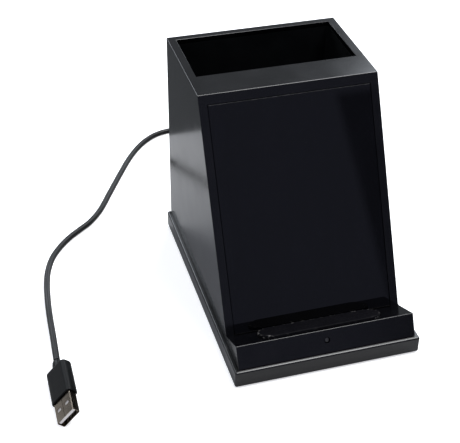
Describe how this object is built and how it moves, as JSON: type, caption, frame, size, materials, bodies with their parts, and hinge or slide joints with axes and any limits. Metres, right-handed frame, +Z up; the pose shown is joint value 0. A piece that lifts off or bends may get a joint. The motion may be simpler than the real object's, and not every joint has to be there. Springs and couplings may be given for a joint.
{
  "type": "wireless phone charging stand with pen cup",
  "caption": "Wireless phone charging stand: leaning glossy panel over the transmitter coil, ledge with soft pad and indicator, open pen cup behind, shallow plinth, tied USB cord with plug.",
  "frame": {"origin": "middle of the plinth's footprint, on the surface that the feet rest on", "axes": "+X to the stand's right seen from the front, +Y from the front ledge to the back wall, +Z up"},
  "size_m": [0.1884, 0.2495, 0.1225],
  "materials": {
    "black_abs": "black ABS with a fine semi-gloss moulding texture",
    "plinth_abs": "black ABS, semi-gloss",
    "panel_acrylic": "polished black acrylic",
    "cup_plastic": "matt black ABS",
    "silicone": "matt black silicone",
    "rubber": "matt black rubber",
    "lens_plastic": "milky translucent plastic",
    "tape_foam": "thin black foam tape",
    "copper": "enamelled copper wire, flat wound",
    "ferrite": "pressed dark grey ferrite",
    "holder_plastic": "natural white moulded plastic",
    "board_green": "glass-epoxy board with green solder resist",
    "chip_black": "black moulding compound",
    "capacitor_film": "dipped red-brown resin",
    "can_aluminium": "bare aluminium can",
    "led_resin": "clear cast resin",
    "steel": "zinc-plated steel screws",
    "pvc": "black flexible PVC",
    "wire_pvc": "red PVC wire insulation",
    "plug_steel": "nickel-plated steel",
    "tongue_plastic": "white moulded contact carrier"
  },
  "bodies": {
    "root": {"plinth": "plinth_abs", "foot_1": "rubber", "foot_2": "rubber", "foot_3": "rubber", "foot_4": "rubber", "case_screw_1": "steel", "case_screw_2": "steel", "case_screw_3": "steel", "case_screw_4": "steel", "housing": "black_abs", "pen_cup": "cup_plastic", "front_panel": "panel_acrylic", "panel_tape": "tape_foam", "ledge_pad": "silicone", "indicator_lens": "lens_plastic", "status_led": "led_resin", "indicator_board": "board_green", "indicator_lead": "wire_pvc", "transmitter_coil": "copper", "ferrite_sheet": "ferrite", "coil_holder": "holder_plastic", "coil_lead_1": "wire_pvc", "coil_lead_2": "wire_pvc", "control_board": "board_green", "board_screw_1": "steel", "board_screw_2": "steel", "board_screw_3": "steel", "board_screw_4": "steel", "charger_chip": "chip_black", "power_inductor": "chip_black", "resonance_capacitor_1": "capacitor_film", "resonance_capacitor_2": "capacitor_film", "resonance_capacitor_3": "capacitor_film", "filter_capacitor": "can_aluminium", "input_lead": "pvc", "strain_relief": "pvc", "cord_out": "pvc", "cord_far": "pvc", "cord_coil": "pvc", "coil_tie": "pvc", "plug_grip": "pvc", "plug_shell": "plug_steel", "plug_tongue": "tongue_plastic"}
  },
  "joints": []
}
